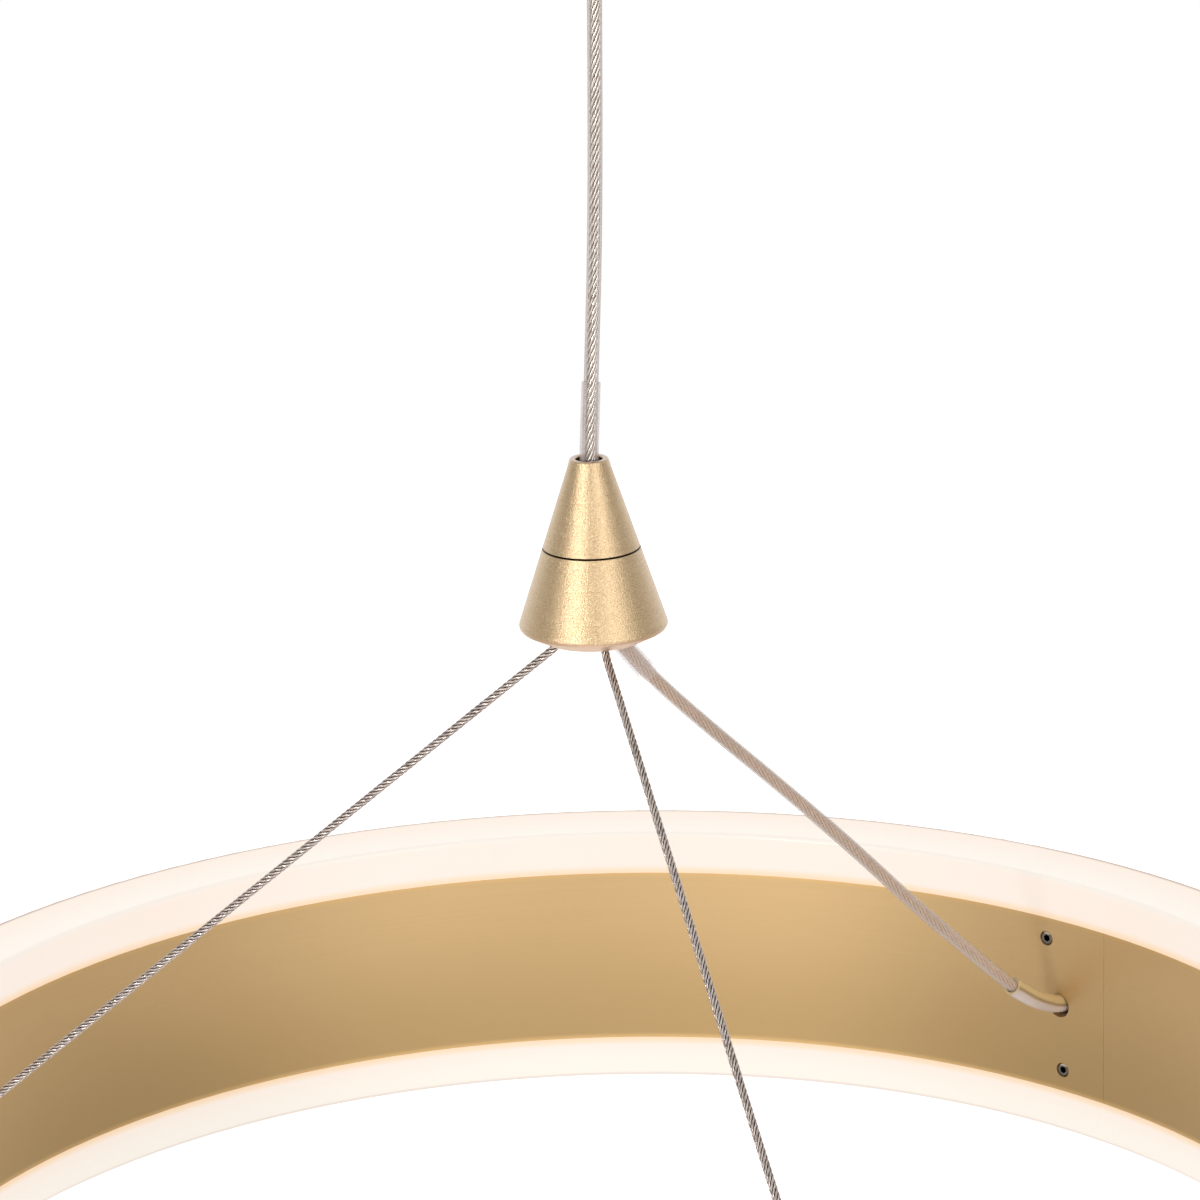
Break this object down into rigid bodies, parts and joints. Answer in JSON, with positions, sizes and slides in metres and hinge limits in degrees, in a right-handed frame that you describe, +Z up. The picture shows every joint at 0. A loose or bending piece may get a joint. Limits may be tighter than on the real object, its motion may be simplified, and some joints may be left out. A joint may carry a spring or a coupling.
{
  "type": "ring pendant light",
  "caption": "Round lit ring with gold bands, hung from a small cone on steel wires and a feed cable, with one cable up to a ceiling canopy.",
  "frame": {"origin": "middle of the ceiling bracket's back face, on the ceiling", "axes": "+Z up into the ceiling, +X to the viewer's right, +Y away from the viewer of the picture"},
  "size_m": [0.4, 0.4, 0.3885],
  "materials": {
    "gold_band": "finely brushed gold",
    "gold_cone": "satin turned gold",
    "gold_canopy": "satin gold",
    "steel": "bright",
    "zinc_steel": "zinc plated",
    "brass": "plain",
    "diffuser": "opal, lit",
    "clear_jacket": "clear jacket over braided cores",
    "brown_cable": "clear jacket over brown braid",
    "clear_sleeve": "clear",
    "white_plastic": "moulded",
    "black_plastic": "moulded",
    "nylon": "natural nylon",
    "lead": "insulated",
    "tray": "mill",
    "led_strip": "white tape with yellow chips"
  },
  "bodies": {
    "canopy": {"ceiling_bracket": "zinc_steel", "canopy_cup": "gold_canopy", "canopy_screws": "brass", "grip_body": "brass", "grip_nut": "zinc_steel", "grip_collet": "nylon", "grip_cap": "gold_cone", "driver_base": "white_plastic", "driver_lid": "white_plastic", "driver_board": "black_plastic", "terminal_block": "white_plastic", "terminal_clamps": "brass", "driver_input_leads": "lead", "driver_output_leads": "lead", "cable_head": "clear_jacket"},
    "cable": {"main_cable": "clear_jacket", "main_cable_sleeve": "clear_sleeve", "cable_ball_stop": "steel"},
    "bush": {"seat_bush": "nylon"},
    "light": {"cone_top": "gold_cone", "cone_base": "gold_cone", "splice_sleeve": "white_plastic", "cone_wire_stops": "steel", "ring_wire_stops": "steel", "left_wire": "steel", "front_wire": "steel", "ring_cable": "brown_cable", "ring_cable_upper_sleeve": "clear_sleeve", "ring_cable_lower_sleeve": "clear_sleeve", "inner_band": "gold_band", "outer_band": "gold_band", "upper_tray": "tray", "lower_tray": "tray", "upper_led_strip": "led_strip", "lower_led_strip": "led_strip", "upper_diffuser": "diffuser", "lower_diffuser": "diffuser", "upper_strip_lead": "lead", "lower_strip_lead": "lead", "wire_anchors": "zinc_steel", "cable_anchor": "zinc_steel", "ring_screws": "brass", "joint_plates": "tray"}
  },
  "joints": [
    {"name": "cable_swing", "type": "hinge", "parent": "canopy", "child": "cable", "pos_m": [0, 0, -0.049], "axis": [1, 0, 0], "range_deg": [-15, 15]},
    {"name": "cone_lean", "type": "hinge", "parent": "cable", "child": "bush", "pos_m": [-0.0042, 0, -0.175], "axis": [0, 1, 0], "range_deg": [-2.5, 2.5]},
    {"name": "light_turn", "type": "hinge", "parent": "bush", "child": "light", "pos_m": [-0.0042, 0, -0.175], "axis": [0, 0, 1], "range_deg": [-90, 90]}
  ]
}
